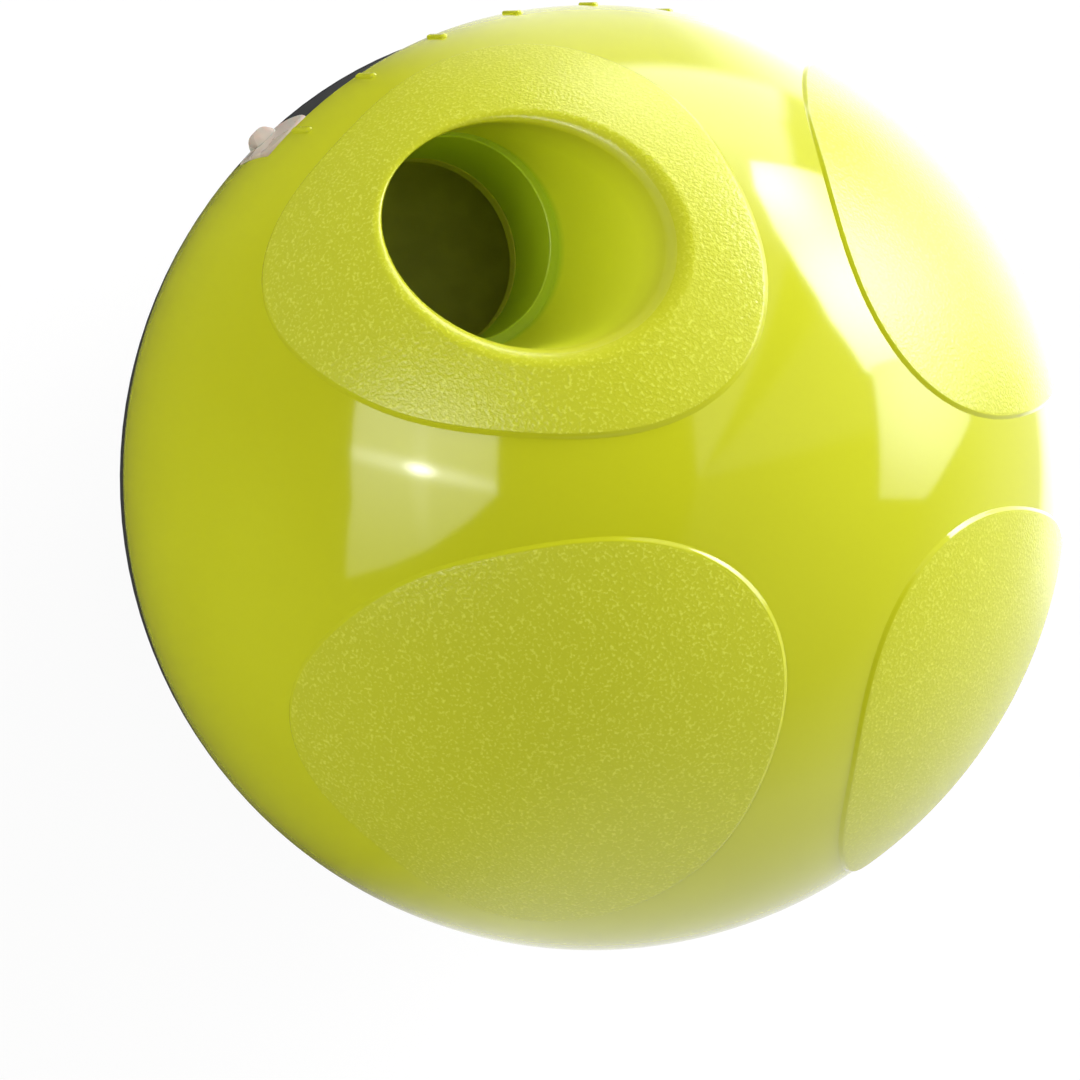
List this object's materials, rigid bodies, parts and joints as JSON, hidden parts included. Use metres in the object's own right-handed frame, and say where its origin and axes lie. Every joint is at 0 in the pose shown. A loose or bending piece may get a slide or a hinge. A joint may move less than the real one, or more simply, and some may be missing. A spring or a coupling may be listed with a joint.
{
  "type": "treat dispensing ball",
  "caption": "Ball in two halves with an outlet tube, grip pads, a sliding timer knob and a motor-driven wheel of treat pods inside, for feeding a pet at intervals.",
  "frame": {"origin": "centre of the ball, in the joint plane of its halves", "axes": "+Z through the pole of the green cover, +X towards the outlet tube's bearing, +Y by the right-hand rule"},
  "size_m": [0.1474, 0.146, 0.146],
  "materials": {
    "green_plastic": "polished, with spark-eroded pads",
    "black_plastic": "polished, with spark-eroded pads",
    "inner_plastic": "fine matt",
    "white_plastic": "satin, slightly translucent",
    "gear_plastic": "natural acetal",
    "steel": "zinc plated",
    "brass": "plain",
    "motor_can": "nickel plated",
    "board": "solder mask",
    "chip": "moulded resin",
    "capacitor": "sleeve",
    "cell_jacket": "printed film on steel",
    "spring_steel": "nickel plated"
  },
  "bodies": {
    "base": {"lower_shell": "black_plastic", "deck": "inner_plastic", "deck_screws": "steel", "axle": "steel", "axle_washer": "steel", "axle_nut": "steel", "gearbox": "brass", "motor_can": "motor_can", "motor_bracket": "inner_plastic", "bracket_screws": "steel", "circuit_board": "board", "board_screws": "steel", "timer_chip": "chip", "buzzer": "chip", "capacitor": "capacitor", "battery_cells": "cell_jacket", "cell_contacts": "spring_steel"},
    "turning_lid": {"pod_cover": "inner_plastic"},
    "cover": {"upper_shell": "green_plastic"},
    "wheel": {"treat_wheel": "inner_plastic", "drive_gear": "gear_plastic", "gear_screws": "steel"},
    "drive_pinion": {"pinion": "gear_plastic", "motor_shaft": "steel"},
    "timer": {"timer_knob": "white_plastic", "knob_carrier": "inner_plastic", "selector_wiper": "brass"},
    "door": {"battery_door": "black_plastic", "door_screws": "steel"}
  },
  "joints": [
    {"name": "cover_twist", "type": "hinge", "parent": "base", "child": "turning_lid", "pos_m": [0, 0, 0], "axis": [0, 0, 1], "range_deg": [0, 14]},
    {"name": "cover_lift", "type": "slide", "parent": "turning_lid", "child": "cover", "axis": [0, 0, 1], "range_m": [0, 0.06]},
    {"name": "wheel_spin", "type": "hinge", "parent": "base", "child": "wheel", "pos_m": [0, 0, 0], "axis": [0, 0, 1], "continuous": true},
    {"name": "pinion_spin", "type": "hinge", "parent": "base", "child": "drive_pinion", "pos_m": [-0.036, 0, 0], "axis": [0, 0, 1], "continuous": true},
    {"name": "timer_slide", "type": "hinge", "parent": "base", "child": "timer", "pos_m": [0, 0, 0], "axis": [0, 0, 1], "range_deg": [-50, 0]},
    {"name": "door_off", "type": "slide", "parent": "base", "child": "door", "axis": [0, 0, -1], "range_m": [0, 0.03]}
  ],
  "couplings": [
    {"joint": "pinion_spin", "follows": "wheel_spin", "ratio": -3}
  ]
}
